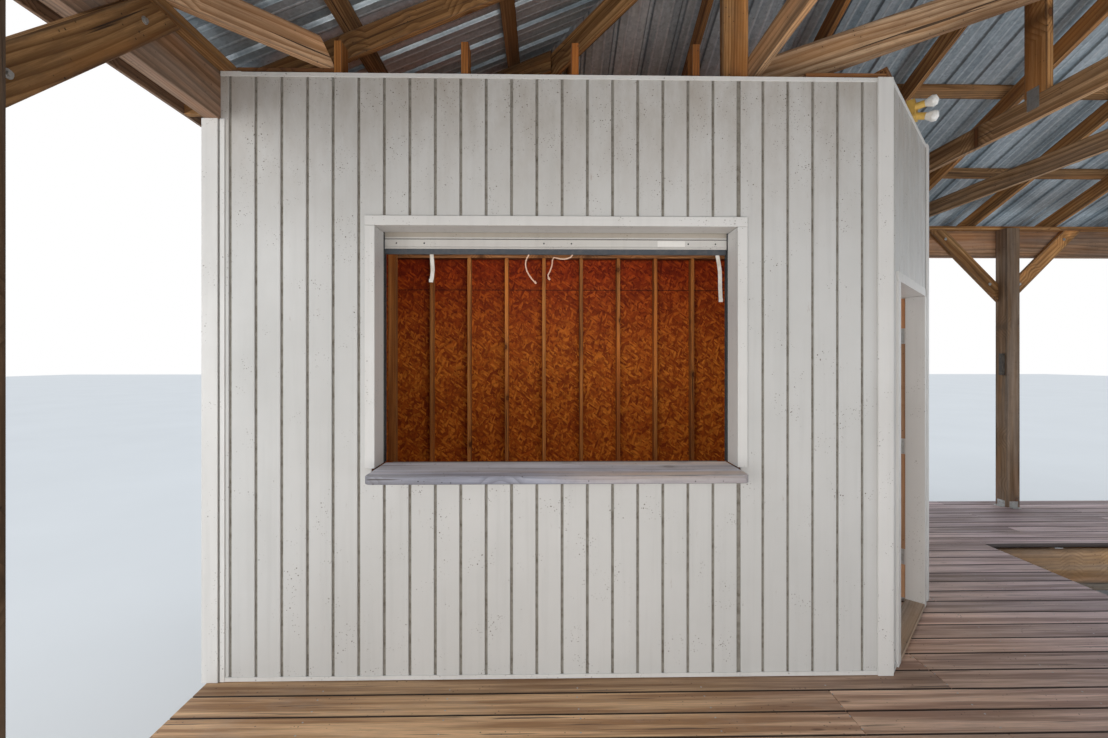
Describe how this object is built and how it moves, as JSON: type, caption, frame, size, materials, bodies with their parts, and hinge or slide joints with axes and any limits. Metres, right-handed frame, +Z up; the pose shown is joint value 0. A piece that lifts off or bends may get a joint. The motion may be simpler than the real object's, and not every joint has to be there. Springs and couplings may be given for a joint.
{
  "type": "boathouse",
  "caption": "Open timber boat shelter on piles with a hip metal roof, a deck round one slip, and a white store room with a serving window and a corner door.",
  "frame": {"origin": "centre of the plan at the foot of the piles, where they meet the water", "axes": "+X along the long side with the store room at -X, +Y from the near side to the far side, +Z up"},
  "size_m": [10.84, 8.82, 5.709],
  "materials": {
    "pile_wood": "weathered round timber",
    "under_wood": "treated rough timber",
    "rim_wood": "treated pine, brown",
    "deck_tan": "stained deck boards, worn",
    "deck_mauve": "old stained deck boards",
    "post_wood": "grey brown treated timber with splits",
    "beam_wood": "grey brown treated timber",
    "brace_wood": "tan pine",
    "rafter_wood": "brown pine",
    "tie_wood": "light pine",
    "purlin_wood": "brown pine",
    "fascia_wood": "weathered board",
    "roof_metal": "galvanised ribbed sheet, blue grey",
    "siding_white": "warm white ribbed siding with specks",
    "trim_white": "white trim",
    "osb": "strand board sheathing, orange brown",
    "stud_wood": "pine studs",
    "counter_grey": "weathered grey slab",
    "shelf_wood": "worn brown board",
    "shutter_white": "white roller shutter",
    "rail_dark": "dark guide rail",
    "door_white": "off white door",
    "hinge_brass": "dull brass plated",
    "threshold_wood": "grey brown board",
    "lamp_yellow": "yellowed plastic",
    "bulb_white": "white reflector bulb",
    "seal_grey": "soft grey seal",
    "strap_white": "off white webbing",
    "rope_pale": "pale braided rope",
    "box_dark": "dark box"
  },
  "bodies": {
    "building": {"piles": "pile_wood", "pile_caps": "under_wood", "joists": "rim_wood", "rim_joists": "rim_wood", "deck_main": "deck_tan", "deck_far_walk": "deck_mauve", "deck_right_walk": "deck_mauve", "posts": "post_wood", "side_beams": "beam_wood", "long_beams": "beam_wood", "knee_braces": "brace_wood", "beam_plates": "tie_wood", "hip_rafters": "brace_wood", "ridge_board": "rafter_wood", "common_rafters": "rafter_wood", "jack_rafters": "rafter_wood", "roof_ties": "tie_wood", "tie_struts": "brace_wood", "roof_braces": "tie_wood", "purlins": "purlin_wood", "roof_far": "roof_metal", "roof_near": "roof_metal", "roof_left": "roof_metal", "roof_right": "roof_metal", "roof_caps": "roof_metal", "fascia": "fascia_wood", "front_wall_left": "siding_white", "front_wall_right": "siding_white", "front_wall_over": "siding_white", "front_wall_under": "siding_white", "angle_wall_near": "siding_white", "angle_wall_far": "siding_white", "angle_wall_over": "siding_white", "right_wall": "siding_white", "back_wall": "osb", "left_wall": "siding_white", "wall_studs": "stud_wood", "wall_plates": "stud_wood", "corner_boards": "trim_white", "window_frame": "trim_white", "shutter_roll": "shutter_white", "shutter_bar": "shutter_white", "shutter_rails": "rail_dark", "counter": "counter_grey", "inner_shelf": "shelf_wood", "door_frame": "trim_white", "threshold": "threshold_wood", "frame_hinges": "hinge_brass", "flood_light": "lamp_yellow", "light_bulbs": "bulb_white", "shutter_seal": "seal_grey", "strap_left": "strap_white", "strap_right": "strap_white", "rope_left": "rope_pale", "rope_right": "rope_pale", "post_box": "box_dark"},
    "door": {"door_leaf": "door_white", "leaf_hinges": "hinge_brass", "door_knobs": "hinge_brass"}
  },
  "joints": [
    {"name": "door_hinge", "type": "hinge", "parent": "building", "child": "door", "pos_m": [-1.03545, 1.8183, 1.777], "axis": [0, 0, 1], "range_deg": [-20, 105]}
  ]
}
